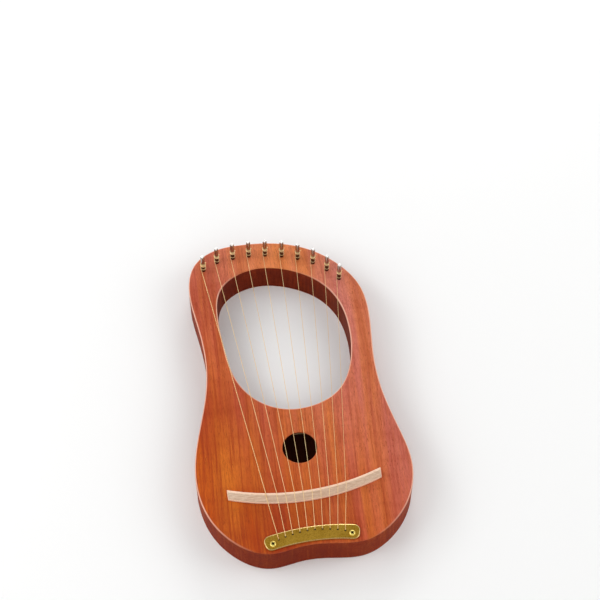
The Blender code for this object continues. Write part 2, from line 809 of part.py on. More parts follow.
def string_route(index):
    """From the ball end up through the tailpiece, over the bridge and once round the pin."""
    diameter = string_diameter(index)
    pitch = diameter + TURN_GAP
    hole = TAIL_HOLES[index]
    crest = notch_floor(index) + STRING_SEAT + diameter / 2
    front = bridge_line(notch(index), 0.0003)
    rear = bridge_line(notch(index), BRIDGE_CREST + 0.0003)
    ahead = (rear - hole) / np.linalg.norm(rear - hole)
    clear = PLATE_TOP + STRING_SEAT + diameter / 2
    points = [
        (*hole, PLATE_BOTTOM),
        (*hole, PLATE_TOP - 0.0002),
        (*(hole + ahead * 0.0003), clear + 0.0001),
        (*(hole + ahead * 0.0010), clear + 0.0005),
        (*rear, crest),
        (*front, crest),
    ]
    steps = round(STRING_WRAP_TURNS * POINTS_PER_TURN)
    for step in range(steps + 1):
        turns = STRING_WRAP_TURNS * step / steps
        points.append(around_pin(index, turns, STRING_LEAVES + pitch * turns))
    return points


def winding_route(index):
    """Goes on above the string's own wrap, in two close groups of turns, and out through the eye."""
    pitch = string_diameter(index) + TURN_GAP
    start = STRING_WRAP_TURNS + 0.04
    height = STRING_LEAVES + pitch * STRING_WRAP_TURNS + pitch
    to_left_side = (wrap_start(index) - math.pi) / (2 * math.pi)
    end = math.ceil(start + LOWER_TURNS + RISING_TURNS + UPPER_TURNS) + to_left_side
    rising_start = start + LOWER_TURNS
    rising_end = rising_start + RISING_TURNS
    lower_top = height + pitch * LOWER_TURNS
    upper_top = PIN_EYE_HEIGHT - pitch
    upper_bottom = upper_top - pitch * (end - 0.5 - rising_end)
    steps = round((end - start) * POINTS_PER_TURN)
    points = []
    for step in range(steps + 1):
        turns = start + (end - start) * step / steps
        level = np.interp(
            turns,
            (start, rising_start, rising_end, end - 0.5, end),
            (height, lower_top, upper_bottom, upper_top, PIN_EYE_HEIGHT),
        )
        points.append(around_pin(index, turns, level))
    x, y = PINS[index]
    eye = BODY_DEPTH + PIN_EYE_HEIGHT
    points[-1] = (x - wrap_radius(index) + 0.0001, y + 0.0006, eye)
    points.append((x - PIN_DIAMETER / 2 + 0.0003, y, eye))
    points.append((x + PIN_DIAMETER / 2 + CUT_END, y, eye))
    return points


def least_gap(points, diameter):
    """Least distance between the surfaces of two parts of a wire that aren't next to each other."""
    fine = []
    for first, second in zip(points, points[1:]):
        first, second = np.array(first), np.array(second)
        pieces = max(int(np.linalg.norm(second - first) / 0.0003), 1)
        fine += [first + (second - first) * step / pieces for step in range(pieces)]
    fine = np.array(fine + [np.array(points[-1])])
    run = np.concatenate([[0], np.cumsum(np.linalg.norm(np.diff(fine, axis=0), axis=1))])
    apart = np.linalg.norm(fine[:, None] - fine[None], axis=2)
    far = np.abs(run[:, None] - run[None]) > 4 * diameter + 0.002
    return apart[far].min() - diameter


def strings_and_windings():
    least = math.inf
    for index in range(STRING_COUNT):
        diameter = string_diameter(index)
        finish = WOUND_BRASS if index == 0 else STEEL
        route = string_route(index)
        tube(f"string_{index + 1:02d}", route, diameter, finish)
        axis = (*PINS[index], BODY_DEPTH)
        turns = winding_route(index)
        tube(f"winding_{index + 1:02d}", turns, diameter, finish, origin=axis)
        least = min(least, least_gap(turns, diameter), least_gap(route, diameter))
    print(f"least gap of a winding to itself: {1000 * least:.2f} mm")


clear_scene()
HARP = new_collection("lyre_harp")
CUTTERS = new_collection("cutters")
MAHOGANY = material("mahogany", (0.46, 0.13, 0.045), 0.35)
SPRUCE = material("spruce", (0.62, 0.45, 0.26), 0.6)
MAPLE = material("maple", (0.72, 0.52, 0.37), 0.4)
BRASS = material("satin_brass", (0.45, 0.34, 0.08), 0.35, 1.0)
BRIGHT_BRASS = material("bright_brass", (0.85, 0.65, 0.2), 0.2, 1.0)
NICKEL = material("nickel", (0.72, 0.69, 0.65), 0.2, 1.0)
STEEL = material("string_steel", (0.6, 0.58, 0.55), 0.25, 1.0)
WOUND_BRASS = material("wound_brass", (0.75, 0.5, 0.22), 0.3, 1.0)

PIN_HOLES, SCREW_HOLES, BALL_CHANNEL = body_cutters()
rim_frame([*PIN_HOLES, *SCREW_HOLES, BALL_CHANNEL])
soundboard([*PIN_HOLES, *SCREW_HOLES, BALL_CHANNEL])
back_plate()
braces()
bridge()
tailpiece()
tailpiece_screws()
ball_ends()
tuning_pins()
strings_and_windings()
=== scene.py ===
"""Looks of the ten-string lyre harp.

Lacquered mahogany body, maple bridge, brass tailpiece, nickel pins. Lengths are in metres.
"""

import json
import math

import bmesh
import bpy
import numpy as np
from mathutils import Matrix, Vector


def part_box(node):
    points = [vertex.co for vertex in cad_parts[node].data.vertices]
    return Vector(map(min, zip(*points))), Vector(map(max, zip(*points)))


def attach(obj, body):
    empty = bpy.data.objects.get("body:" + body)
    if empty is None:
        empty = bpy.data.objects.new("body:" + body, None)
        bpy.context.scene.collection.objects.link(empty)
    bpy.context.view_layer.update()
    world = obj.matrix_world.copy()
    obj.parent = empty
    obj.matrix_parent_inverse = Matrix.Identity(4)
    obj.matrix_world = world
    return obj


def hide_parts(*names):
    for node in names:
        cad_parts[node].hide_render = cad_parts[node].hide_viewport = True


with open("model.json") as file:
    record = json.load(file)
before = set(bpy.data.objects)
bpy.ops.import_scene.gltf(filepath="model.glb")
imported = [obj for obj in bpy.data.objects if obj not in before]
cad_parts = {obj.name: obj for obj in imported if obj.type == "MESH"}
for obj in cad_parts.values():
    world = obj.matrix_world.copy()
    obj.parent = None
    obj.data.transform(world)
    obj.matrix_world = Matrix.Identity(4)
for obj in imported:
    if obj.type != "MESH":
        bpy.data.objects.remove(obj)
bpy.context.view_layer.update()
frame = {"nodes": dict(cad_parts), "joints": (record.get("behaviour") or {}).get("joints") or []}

# How far apart points still count as level, and as one point
LEVEL = 1e-5
WELD = 1e-6

# Body, and the heights of its faces
BACK_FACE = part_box("back_plate")[0].z
BACK_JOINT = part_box("back_plate")[1].z
FRONT_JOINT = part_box("soundboard")[0].z
FRONT_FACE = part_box("soundboard")[1].z
EDGE_RADIUS = 0.0015
GLUE_LINE = 0.00004  # half the line between the frame and a plate
OUTLINE_EASE = 0.00013  # how far smoothed outlines keep inside the traced ones
CUT_PAST = 0.01  # how far a cutter reaches past the face that it cuts
UNDER_SKIN = 0.001  # flat faces deeper than this are raw wood, painted dark as shade
UNMARKED_ROUND_HOLE = 0.03  # no painted edge highlight this close to the sound hole's middle

# Bridge
BRIDGE_SPAN = 0.1786
BRIDGE_ARC = 0.254
BRIDGE_TILT = math.radians(2.5)
BRIDGE_WIDTH = 0.009
BRIDGE_HEIGHT = 0.0105
BRIDGE_END_DROP = 0.002  # how much lower the crest is at its ends
BRIDGE_CREST = 0.0022  # width of the level crest
BRIDGE_TOE = 0.003  # height of the side towards the tail
BRIDGE_CENTRE = Vector((-0.001571, -0.146505))
BRIDGE_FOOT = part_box("bridge")[0].z
FIRST_NOTCH = -0.0465  # along the arc from its middle
FIRST_NOTCH_GAP = 0.0125
NOTCH_GAP = 0.01005
NOTCH_DEPTH = 0.0005
BRIDGE_STEPS = 72
BRIDGE_SOFTNESS = 0.0006
BRIDGE_HIGHLIGHT_RIM = 0.0005  # painted highlight rim round the slope

# Tailpiece
PLATE_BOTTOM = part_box("tailpiece")[0].z
PLATE_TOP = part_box("tailpiece")[1].z
PLATE_CHAMFER = 0.0009
PLATE_CHAMFER_RISE = 0.00028
DRILL_PAST = 0.001  # how far a drill reaches past the plate
DRILL_ROUND = 0.0002  # faces this close to a drill's edge are the hole's wall
SCREW_HEAD_DIAMETER = 0.0070
SCREW_HEAD_HEIGHT = 0.0022
SCREW_HEAD_ROUNDING = 0.0014
SCREW_SHANK_RADIUS = 0.0016
SCREW_POINT = 0.003
SCREW_TIP = 0.15  # width of the point's end, as a share of the shank's
SCREW_TURN = 0.5  # how far the recess is turned, in radians
RECESS_RADIUS = 0.0024
RECESS_DEPTH = 0.0017
RECESS_WAIST = 0.48  # width between the wings, as a share of the width at a wing
RECESS_FOOT = 0.5  # the recess narrows downwards: its width below and above
RECESS_MOUTH = 1.5
RECESS_FACES = 0.0021  # faces this close to the middle are in the recess
UNDER_TOP = 0.0001

# Pins, strings and their turns
PIN_DIAMETER = 0.005
PIN_LENGTH = 0.044
PIN_EXPOSED = 0.031
PIN_HEAD_LENGTH = 0.017
PIN_HEAD_ACROSS = 0.0039
PIN_CROWN = 0.0020
PIN_CROWN_RISE = PIN_CROWN - 0.00001  # a hair lower, to stay inside the box
PIN_CROWN_RINGS = 8
PIN_CROWN_STEP = math.pi / 18
PIN_CROWN_ROUNDNESS = 0.35
PIN_SOFTNESS = 0.0004
PIN_EYE_HEIGHT = 0.0160
PIN_EYE_RADIUS = 0.0007
PIN_THREAD_TOP = 0.0125  # over the front
BORE_CLEARANCE = 0.00012
BORE_DEEPER = 0.002
STRING_SEAT = 0.0002  # gap between a string and what it lies on
STRING_LEAVES = 0.0045  # height over the front at which it meets the pin
STRING_WRAP_TURNS = 1.25
TURN_GAP = 0.00046
TURNS_PARTED = 0.04  # gap, in turns, between a string's end and the turns over it
WINDING_TURNS = 4
POINTS_PER_TURN = 12
CUT_END = 0.0018
BEND_LENGTH = 0.0015  # the bend over the rim of the tailpiece's hole
BEND_RISE = 0.0004
CREST_INSET = 0.0003  # where the string bends on the crest, from its edges
REAR_DIP = 0.00004
STRINGS = [f"{number:02d}" for number in range(1, 11)]


# Modelling by hand

def start_piece(name):
    """Names the object that was just added."""
    item = bpy.context.active_object
    item.name = name
    item.data.name = name
    return item


def add_object(name, data):
    item = bpy.data.objects.new(name, data)
    bpy.context.scene.collection.objects.link(item)
    return item


def add_spline(curve, places, closed=False):
    """A smooth line through the places."""
    spline = curve.splines.new("BEZIER")
    spline.bezier_points.add(len(places) - 1)
    for point, place in zip(spline.bezier_points, places):
        point.co = place
        point.handle_left_type = "AUTO"
        point.handle_right_type = "AUTO"
    spline.use_cyclic_u = closed


def only(item):
    """Selects this object alone."""
    bpy.ops.object.select_all(action="DESELECT")
    item.select_set(True)
    bpy.context.view_layer.objects.active = item


def settle(item, smooth_below=35):
    """Puts the object's place into its mesh, welds it and smooths its rounded faces."""
    only(item)
    bpy.ops.object.transform_apply(location=True, rotation=True, scale=True)
    bpy.ops.object.mode_set(mode="EDIT")
    bpy.ops.mesh.select_all(action="SELECT")
    bpy.ops.mesh.remove_doubles(threshold=WELD)
    bpy.ops.mesh.normals_make_consistent(inside=False)
    bpy.ops.object.mode_set(mode="OBJECT")
    bpy.ops.object.shade_smooth_by_angle(angle=math.radians(smooth_below))


def keep_flats_flat(item):
    """Leans the shading of rounded edges on the large flat faces beside them."""
    weighted = item.modifiers.new("flat faces", "WEIGHTED_NORMAL")
    weighted.keep_sharp = True
    weighted.weight = 100
    apply_modifiers(item)


def apply_modifiers(item):
    only(item)
    for modifier in list(item.modifiers):
        bpy.ops.object.modifier_apply(modifier=modifier.name)


def carve(item, cutters):
    """Cuts the item with the cutters, one after the other, and throws them away."""
    for cutter in cutters:
        boolean = item.modifiers.new("carve", "BOOLEAN")
        boolean.object = cutter
        boolean.operation = "DIFFERENCE"
        boolean.solver = "EXACT"
    apply_modifiers(item)
    for cutter in cutters:
        bpy.data.objects.remove(cutter, do_unlink=True)


def soften_edges(item, width, over):
    """Rounds the edges that turn by more than an angle in degrees."""
    bevel = item.modifiers.new("soft edges", "BEVEL")
    bevel.width = width
    bevel.segments = 3
    bevel.limit_method = "ANGLE"
    bevel.angle_limit = math.radians(over)
    apply_modifiers(item)


def dress(item, finish, slot, body, node):
    """Gives a finished piece its material and its body, and hides the CAD node that it stands for.
    """
    keep_flats_flat(item)
    item.data.materials.clear()
    item.data.materials.append(finish)
    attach(item, body)
    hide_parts(node)


def paint(item, finish, wanted):
    """Gives the faces that pass the test a finish of their own."""
    item.data.materials.append(finish)
    for face in item.data.polygons:
        if wanted(face):
            face.material_index = len(item.data.materials) - 1


def pick(item, wanted):
    """Selects the faces, in edit mode, that pass the test."""
    work = bmesh.from_edit_mesh(item.data)
    work.select_mode = {"FACE"}
    for face in work.faces:
        face.select_set(bool(wanted(face)))
    work.select_flush_mode()
    bmesh.update_edit_mesh(item.data)


def cylinder(name, place, radius, bottom, top, vertices=48):
    bpy.ops.mesh.primitive_cylinder_add(
        vertices=vertices,
        radius=radius,
        depth=top - bottom,
        location=(place[0], place[1], (bottom + top) / 2),
    )
    return start_piece(name)


# Outlines of the body, traced from the frame

def traced_outlines(node, height):
    """Closed outlines of a CAD node's flat face at a height, the longest first."""
    work = bmesh.new()
    work.from_mesh(frame["nodes"][node].data)
    bmesh.ops.remove_doubles(work, verts=work.verts, dist=WELD)
    work.normal_update()
    beside = {}
    for edge in work.edges:
        if all(abs(vertex.co.z - height) < LEVEL for vertex in edge.verts):
            flat = sum(abs(face.normal.z) > 0.99 for face in edge.link_faces)
            if flat == 1 and len(edge.link_faces) == 2:
                first, second = edge.verts
                beside.setdefault(first.index, []).append(second.index)
                beside.setdefault(second.index, []).append(first.index)
    work.verts.ensure_lookup_table()
    places = {index: work.verts[index].co.xy.copy() for index in beside}
    work.free()
    outlines = []
    while beside:
        walk = [next(iter(beside))]
        while True:
            onward = [index for index in beside.get(walk[-1], []) if index not in walk[-2:]]
            following = next((index for index in onward if index in beside), None)
            if following is None or following in walk:
                break
            walk.append(following)
        for index in walk:
            beside.pop(index, None)
        outlines.append([places[index] for index in walk])
    outlines.sort(key=lambda outline: -sum((a - b).length for a, b in zip(outline, outline[1:])))
    return outlines


def flat_panel(name, outlines, bottom, top, edge=0.0, smoothness=4, rounding=3):
    """A panel with smooth outlines: the first is its edge, the others its openings."""
    curve = bpy.data.curves.new(name, "CURVE")
    curve.dimensions = "2D"
    curve.fill_mode = "BOTH"
    curve.resolution_u = smoothness
    curve.extrude = (top - bottom) / 2 - edge
    curve.bevel_depth = edge
    curve.bevel_resolution = rounding
    curve.offset = -edge - OUTLINE_EASE
    for place, outline in enumerate(outlines):
        turn = sum(a.x * b.y - b.x * a.y for a, b in zip(outline, outline[1:] + outline[:1]))
        if (turn > 0) == (place == 0):
            outline = outline[::-1]
        add_spline(curve, [(*point, 0) for point in outline], closed=True)
    item = add_object(name, curve)
    item.location.z = (top + bottom) / 2
    only(item)
    bpy.ops.object.convert(target="MESH")
    settle(item)
    return item


def middle_of(outline):
    return sum(outline, Vector((0, 0))) / len(outline)


def one_sided(item, height, keep_above):
    """Keeps the half of a doubled panel above or below a height, and closes it with a flat face."""
    only(item)
    bpy.ops.object.mode_set(mode="EDIT")
    bpy.ops.mesh.select_all(action="SELECT")
    bpy.ops.mesh.bisect(
        plane_co=(0, 0, height),
        plane_no=(0, 0, 1),
        clear_inner=keep_above,
        clear_outer=not keep_above,
    )
    bpy.ops.mesh.select_all(action="DESELECT")
    bpy.ops.mesh.select_non_manifold()
    bpy.ops.mesh.fill()
    bpy.ops.object.mode_set(mode="OBJECT")
    settle(item)


BODY_EDGE, CHAMBER, HAND_OPENING = traced_outlines("rim_frame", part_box("rim_frame")[0].z)
FRONT_OUTLINES = traced_outlines("soundboard", FRONT_JOINT)
STRING_CHANNEL, SOUND_HOLE = FRONT_OUTLINES[2:4]
SCREW_HOLES = FRONT_OUTLINES[-2:]


def pin_place(number):
    joint = next(joint for joint in frame["joints"] if joint["name"] == f"pin_{number}_turn")
    return Vector(joint["pos_m"]).xy


def pin_bores(bottom):
    radius = PIN_DIAMETER / 2 + BORE_CLEARANCE
    return [
        cylinder("pin bore", pin_place(number), radius, bottom, FRONT_FACE + CUT_PAST, 32)
        for number in STRINGS
    ]


def paint_edge_highlight(item, strength=1.0):
    """Marks the rounded edges for a painted highlight: most at the yoke, not at the tail."""
    marks = item.data.attributes.new("painted_edge_highlight", "FLOAT", "POINT")
    hole = middle_of(SOUND_HOLE)
    for vertex, mark in zip(item.data.vertices, marks.data):
        depth = min(FRONT_FACE - vertex.co.z, vertex.co.z - BACK_FACE)
        rounded = LEVEL < depth < EDGE_RADIUS + LEVEL
        if rounded and (vertex.co.xy - hole).length > UNMARKED_ROUND_HOLE:
            towards_yoke = vertex.normal.xy.normalized().y
            # the painted highlight fades out on edges that face the tail
            mark.value = strength * min(1, max(0, 1.5 + 1.6 * towards_yoke))


def finish_walls(item):
    """The walls: lacquered thinly outside and a little darker as painted shade; darker still in the
    hand opening, as painted shade; raw wood painted dark as shade in the chamber.
    """
    item.data.materials.append(MAHOGANY_SIDES)
    item.data.materials.append(MAHOGANY_OPENING_SHADE)
    item.data.materials.append(RAW_WOOD_PAINTED_SHADE)
    outlines = (BODY_EDGE, HAND_OPENING, CHAMBER)
    points = np.array([point for outline in outlines for point in outline])
    sorts = np.repeat((1, 2, 3), [len(outline) for outline in outlines])
    for face in item.data.polygons:
        if abs(face.normal.z) < 0.1:
            away = np.linalg.norm(points - face.center.xy, axis=1)
            face.material_index = int(sorts[away.argmin()])
        elif abs(face.normal.z) > 0.9:
            if BACK_FACE + UNDER_SKIN < face.center.z < FRONT_FACE - UNDER_SKIN:
                face.material_index = 3


def make_front():
    """The front plate, with its openings and the cuts for the pins, the strings and the screws."""
    thickness = FRONT_FACE - FRONT_JOINT
    outlines = [BODY_EDGE, HAND_OPENING, SOUND_HOLE]
    item = flat_panel("front_plate", outlines, FRONT_JOINT - thickness, FRONT_FACE, EDGE_RADIUS)
    one_sided(item, FRONT_JOINT + GLUE_LINE, keep_above=True)
    carve(item, pin_bores(FRONT_JOINT - CUT_PAST))
    carve(item, [
        flat_panel("cut", [cut], FRONT_JOINT - CUT_PAST, FRONT_FACE + CUT_PAST)
        for cut in (STRING_CHANNEL, *SCREW_HOLES)
    ])
    dress(item, MAHOGANY, "mahogany", "harp", "soundboard")
    finish_walls(item)
    paint_edge_highlight(item)


def make_frame():
    """The ring between the plates: yoke, arms, rail, sides and tail."""
    item = flat_panel(
        "body_frame",
        [BODY_EDGE, HAND_OPENING, CHAMBER],
        BACK_JOINT + GLUE_LINE,
        FRONT_JOINT - GLUE_LINE,
    )
    carve(item, pin_bores(FRONT_FACE - PIN_LENGTH + PIN_EXPOSED - BORE_DEEPER))
    dress(item, MAHOGANY, "mahogany", "harp", "rim_frame")
    finish_walls(item)


def make_back():
    """The back plate, rounded like the front."""
    thickness = BACK_JOINT - BACK_FACE
    outlines = [BODY_EDGE, HAND_OPENING]
    item = flat_panel("back_panel", outlines, BACK_FACE, BACK_JOINT + thickness, EDGE_RADIUS)
    one_sided(item, BACK_JOINT - GLUE_LINE, keep_above=False)
    dress(item, MAHOGANY, "mahogany", "harp", "back_plate")
    finish_walls(item)
    paint_edge_highlight(item, 0.4)


# Bridge

def bridge_point(along, across):
    """A place on the bridge in plan, along its arc and across it towards the tail."""
    angle = along / BRIDGE_ARC
    x = (BRIDGE_ARC + across) * math.sin(angle)
    y = BRIDGE_ARC - (BRIDGE_ARC + across) * math.cos(angle)
    return BRIDGE_CENTRE + Matrix.Rotation(BRIDGE_TILT, 2) @ Vector((x, y))


def notch(number):
    """Where a string's notch is along the arc."""
    index = int(number) - 1
    return FIRST_NOTCH if index == 0 else FIRST_NOTCH + FIRST_NOTCH_GAP + (index - 1) * NOTCH_GAP


def crest_height(along):
    return BRIDGE_FOOT + BRIDGE_HEIGHT - BRIDGE_END_DROP * (2 * along / BRIDGE_SPAN) ** 2


def bridge_bar():
    """A wedge-shaped section spun along an arc, its ends drawn square to the harp."""
    bpy.ops.mesh.primitive_circle_add(vertices=5, fill_type="NGON")
    item = start_piece("bridge_bar")
    section = (
        (0, 0),
        (0, BRIDGE_HEIGHT),
        (-BRIDGE_CREST, BRIDGE_HEIGHT),
        (-BRIDGE_WIDTH, BRIDGE_TOE),
        (-BRIDGE_WIDTH, 0),
    )
    for vertex, (across, rise) in zip(item.data.vertices, section):
        vertex.co = (0, across, rise)
    half = math.asin(BRIDGE_SPAN / 2 / BRIDGE_ARC)
    bpy.ops.object.mode_set(mode="EDIT")
    bpy.ops.mesh.select_all(action="SELECT")
    bpy.ops.transform.rotate(value=half, orient_axis="Z", center_override=(0, BRIDGE_ARC, 0))
    bpy.ops.object.mode_set(mode="OBJECT")
    first = min(vertex.co.x for vertex in item.data.vertices)
    direction = -1 if first < 0 else 1
    bpy.ops.object.mode_set(mode="EDIT")
    bpy.ops.mesh.select_all(action="SELECT")
    bpy.ops.mesh.spin(
        steps=BRIDGE_STEPS,
        angle=2 * half * direction,
        center=(0, BRIDGE_ARC, 0),
        axis=(0, 0, 1),
    )
    bpy.ops.object.mode_set(mode="OBJECT")
    for vertex in item.data.vertices:
        angle = math.atan2(vertex.co.x, BRIDGE_ARC - vertex.co.y)
        if vertex.co.z > BRIDGE_TOE + LEVEL:
            vertex.co.z -= BRIDGE_END_DROP * (2 * BRIDGE_ARC * angle / BRIDGE_SPAN) ** 2
        radius = math.hypot(vertex.co.x, BRIDGE_ARC - vertex.co.y)
        angle *= math.asin(BRIDGE_SPAN / 2 / radius) / half
        vertex.co.x = radius * math.sin(angle)
        vertex.co.y = BRIDGE_ARC - radius * math.cos(angle)
    item.rotation_euler.z = BRIDGE_TILT
    item.location = (*BRIDGE_CENTRE, BRIDGE_FOOT)
    settle(item)
    return item


def notch_cutters():
    cutters = []
    for number in STRINGS:
        along = notch(number)
        radius = string_diameter(number) / 2 + STRING_SEAT
        middle = bridge_point(along, BRIDGE_WIDTH / 2)
        bpy.ops.mesh.primitive_cylinder_add(
            vertices=24,
            radius=radius,
            depth=2 * BRIDGE_WIDTH,
            location=(*middle, crest_height(along) - NOTCH_DEPTH + radius),
            rotation=(math.pi / 2, 0, BRIDGE_TILT + along / BRIDGE_ARC),
        )
        cutters.append(start_piece("notch"))
    return cutters


def on_bridge_slope(face):
    across = (face.center.xy - bridge_point(0, -BRIDGE_ARC)).length - BRIDGE_ARC
    inside_rim = BRIDGE_CREST + BRIDGE_HIGHLIGHT_RIM < across < BRIDGE_WIDTH - BRIDGE_HIGHLIGHT_RIM
    return inside_rim and face.normal.z > 0.5 and abs(face.normal.x) < 0.4


def make_bridge():
    """The bar with softened edges and ten notches; all faces but its slope get a paler painted
    highlight.
    """
    item = bridge_bar()
    soften_edges(item, BRIDGE_SOFTNESS, over=25)
    carve(item, notch_cutters())
    settle(item, smooth_below=28)
    dress(item, MAPLE, "maple", "harp", "bridge")
    # All faces but the slope: painted highlight
    paint(item, MAPLE_HIGHLIGHT, lambda face: not on_bridge_slope(face))


# Tailpiece and its screws

def make_tailpiece():
    """A doubled plate with a sloping rim, halved, its rim pressed flatter and its holes drilled."""
    outlines = traced_outlines("tailpiece", PLATE_BOTTOM)
    top = PLATE_TOP + PLATE_CHAMFER - PLATE_CHAMFER_RISE
    item = flat_panel(
        "tail_plate",
        outlines[:1],
        2 * PLATE_BOTTOM - top,
        top,
        PLATE_CHAMFER,
        smoothness=3,
        rounding=0,
    )
    one_sided(item, PLATE_BOTTOM, keep_above=True)
    for vertex in item.data.vertices:
        above = vertex.co.z - (top - PLATE_CHAMFER)
        if above > 0:
            vertex.co.z -= above * (1 - PLATE_CHAMFER_RISE / PLATE_CHAMFER)
    holes = []
    for outline in outlines[1:]:
        middle = middle_of(outline)
        holes.append((middle, max((point - middle).length for point in outline)))
    carve(item, [
        cylinder("hole", middle, radius, PLATE_BOTTOM - DRILL_PAST, PLATE_TOP + DRILL_PAST, 32)
        for middle, radius in holes
    ])
    settle(item, smooth_below=14)
    dress(item, BRASS, "satin_brass", "harp", "tailpiece")
    # The chamfer faces get a paler brass: a painted highlight
    paint(item, BRASS_HIGHLIGHT, lambda face: 0.3 < face.normal.z < 0.99)
    # The holes' walls get dark brass: painted shade
    paint(item, BRASS_SHADE, lambda face: abs(face.normal.z) < 0.3 and any(
        (face.center.xy - middle).length < radius + DRILL_ROUND for middle, radius in holes
    ))


def recess_cutter(place, height):
    """A star with four wings, wider above than below, half sunk at a height."""
    item = cylinder("recess", place, RECESS_RADIUS, height - RECESS_DEPTH, height + RECESS_DEPTH, 8)
    for vertex in item.data.vertices:
        on_wing = round(math.atan2(vertex.co.y, vertex.co.x) / (math.pi / 4)) % 2 == 0
        reach = 1.0 if on_wing else RECESS_WAIST
        vertex.co.xy *= reach * (RECESS_FOOT if vertex.co.z < 0 else RECESS_MOUTH)
    item.rotation_euler.z = SCREW_TURN
    return item


def make_screw(side):
    """A domed head with a driver recess, over a plain shank."""
    node = f"tailpiece_screw_{side}"
    low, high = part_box(node)
    place = (low + high) / 2
    seat = high.z - SCREW_HEAD_HEIGHT
    item = cylinder(f"tail_screw_{side}", place, SCREW_HEAD_DIAMETER / 2, seat, high.z)
    bpy.ops.object.mode_set(mode="EDIT")
    pick(item, lambda face: face.normal.z > 0.9)
    bpy.ops.mesh.bevel(offset=SCREW_HEAD_ROUNDING, segments=7, affect="EDGES", profile=0.5)
    bpy.ops.mesh.select_all(action="DESELECT")
    pick(item, lambda face: face.normal.z < -0.9)
    bpy.ops.mesh.inset(thickness=SCREW_HEAD_DIAMETER / 2 - SCREW_SHANK_RADIUS)
    for drop in (low.z + SCREW_POINT - seat, -SCREW_POINT):
        bpy.ops.mesh.extrude_region_move(TRANSFORM_OT_translate={"value": (0, 0, drop)})
    bpy.ops.transform.resize(value=(SCREW_TIP, SCREW_TIP, 1))
    bpy.ops.object.mode_set(mode="OBJECT")
    carve(item, [recess_cutter(place, high.z)])
    settle(item, smooth_below=40)
    dress(item, BRIGHT_BRASS, "bright_brass", "harp", node)
    # The recess gets dark brass: painted shade
    paint(item, BRASS_SHADE, lambda face: (
        seat < face.center.z < high.z - UNDER_TOP
        and (face.center - place).xy.length < RECESS_FACES
    ))


# Tuning pins

def make_pin():
    """The first pin: a turned shank with an eye, and a square head that narrows upwards."""
    place = pin_place("01")
    top = FRONT_FACE + PIN_EXPOSED
    item = cylinder("pin_01", place, PIN_DIAMETER / 2, top - PIN_LENGTH, top - PIN_CROWN)
    bpy.ops.object.mode_set(mode="EDIT")
    lean = math.atan2((PIN_DIAMETER - PIN_HEAD_ACROSS) / 2, PIN_HEAD_LENGTH)
    for quarter in range(4):
        turn = math.pi / 2 * quarter + math.pi / 4
        outward = (math.cos(turn), math.sin(turn))
        bpy.ops.mesh.select_all(action="SELECT")
        bpy.ops.mesh.bisect(
            plane_co=(
                place.x + PIN_HEAD_ACROSS / 2 * outward[0],
                place.y + PIN_HEAD_ACROSS / 2 * outward[1],
                top,
            ),
            plane_no=(outward[0] * math.cos(lean), outward[1] * math.cos(lean), math.sin(lean)),
            clear_outer=True,
            use_fill=True,
        )
    bpy.ops.object.mode_set(mode="OBJECT")
    soften_edges(item, PIN_SOFTNESS, over=40)
    bpy.ops.object.mode_set(mode="EDIT")
    pick(item, lambda face: face.normal.z > 0.9)
    full = math.sin(PIN_CROWN_STEP * PIN_CROWN_RINGS)
    for step in range(PIN_CROWN_RINGS):
        low, high = PIN_CROWN_STEP * step, PIN_CROWN_STEP * (step + 1)
        rise = PIN_CROWN_RISE * (math.sin(high) - math.sin(low)) / full
        shrink = math.cos(high) / math.cos(low)
        bpy.ops.mesh.extrude_region_move(TRANSFORM_OT_translate={"value": (0, 0, rise)})
        bpy.ops.transform.resize(value=(shrink, shrink, 1))
        bpy.ops.transform.tosphere(value=PIN_CROWN_ROUNDNESS)
    bpy.ops.object.mode_set(mode="OBJECT")
    eye = cylinder("eye", (0, 0), PIN_EYE_RADIUS, -PIN_DIAMETER, PIN_DIAMETER, 24)
    eye.rotation_euler.y = math.pi / 2
    eye.location = (*place, FRONT_FACE + PIN_EYE_HEIGHT)
    carve(item, [eye])
    settle(item)
    dress(item, NICKEL, "nickel", "pin_01", "tuning_pin_01")
    paint_crown_highlight(item)
    return item


def paint_crown_highlight(item):
    """The crown of a pin gets a painted highlight in near-white nickel; the shank below keeps the
    plain nickel.
    """
    crown = FRONT_FACE + PIN_EXPOSED - PIN_CROWN
    paint(item, NICKEL_HIGHLIGHT, lambda face: face.center.z > crown)


def make_pins():
    """The other pins are copies of the first, each on its own place."""
    first = make_pin()
    for number in STRINGS[1:]:
        item = add_object(f"pin_{number}", first.data.copy())
        item.location = (*(pin_place(number) - pin_place("01")), 0)
        only(item)
        bpy.ops.object.transform_apply(location=True, rotation=False, scale=False)
        dress(item, NICKEL, "nickel", f"pin_{number}", f"tuning_pin_{number}")
        paint_crown_highlight(item)


# Strings

def string_diameter(number):
    """The first string is wound and thicker; the others get thinner from one to the next."""
    if number == "01":
        return 0.0008
    return 0.0006 - 0.00018 * (int(number) - 2) / 8


def wrap_radius(number):
    return PIN_DIAMETER / 2 + STRING_SEAT + string_diameter(number) / 2


def first_touch(number):
    """Angle on the pin at which the string from the bridge first meets its left side."""
    towards = bridge_point(notch(number), 0) - pin_place(number)
    bearing = math.atan2(towards.y, towards.x)
    return bearing - math.acos(wrap_radius(number) / towards.length)


def around(number, turns, height):
    """A place on the wrap round a pin, so many turns after the string first meets it."""
    angle = first_touch(number) - 2 * math.pi * turns
    place = pin_place(number) + wrap_radius(number) * Vector((math.cos(angle), math.sin(angle)))
    return (*place, FRONT_FACE + height)


def string_look(number):
    return (WOUND_STRING, "wound_brass") if number == "01" else (PLAIN_STRING, "string_steel")


